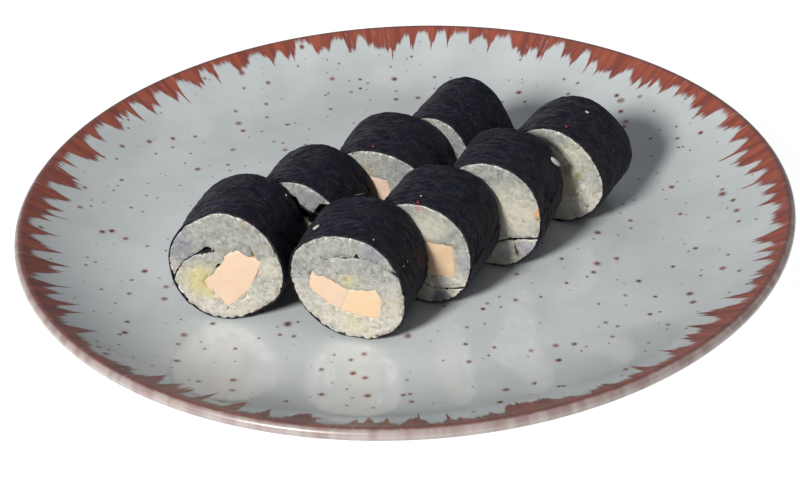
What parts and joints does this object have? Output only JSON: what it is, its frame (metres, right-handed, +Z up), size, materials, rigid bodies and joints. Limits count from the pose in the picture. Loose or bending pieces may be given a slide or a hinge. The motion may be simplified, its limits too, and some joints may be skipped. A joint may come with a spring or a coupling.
{
  "type": "maki sushi roll",
  "caption": "Cut maki rolls of rice, fish and pickle in dark seaweed, lying in two slanting rows on a round speckled stoneware plate with a rust-brown rim.",
  "frame": {"origin": "under the plate's centre, on the surface that its foot ring stands on", "axes": "+Z up; the two rows of rolls run from front left to back right, and each roll's front cut faces -Y, turned a little towards -X"},
  "size_m": [0.2714, 0.2714, 0.0502],
  "materials": {
    "stoneware": "glossy pale blue-grey glaze with iron specks and a brushed rust-brown rim",
    "nori": "moist pressed seaweed sheet, finely wrinkled",
    "rice": "cooked seasoned rice, moist and slightly translucent",
    "salmon": "smooth moist pale pink fish",
    "radish": "smooth moist pale yellow pickle"
  },
  "bodies": {
    "root": {"left_1_nori": "nori", "left_1_rice": "rice", "left_1_salmon": "salmon", "left_2_nori": "nori", "left_2_rice": "rice", "left_2_salmon": "salmon", "left_3_nori": "nori", "left_3_radish": "radish", "left_3_rice": "rice", "left_3_salmon": "salmon", "left_4_nori": "nori", "left_4_rice": "rice", "left_4_salmon": "salmon", "plate": "stoneware", "right_1_nori": "nori", "right_1_radish": "radish", "right_1_rice": "rice", "right_1_salmon": "salmon", "right_2_nori": "nori", "right_2_radish": "radish", "right_2_rice": "rice", "right_2_salmon": "salmon", "right_3_nori": "nori", "right_3_rice": "rice", "right_3_salmon": "salmon", "right_4_nori": "nori", "right_4_radish": "radish", "right_4_rice": "rice", "right_4_salmon": "salmon"}
  },
  "joints": []
}
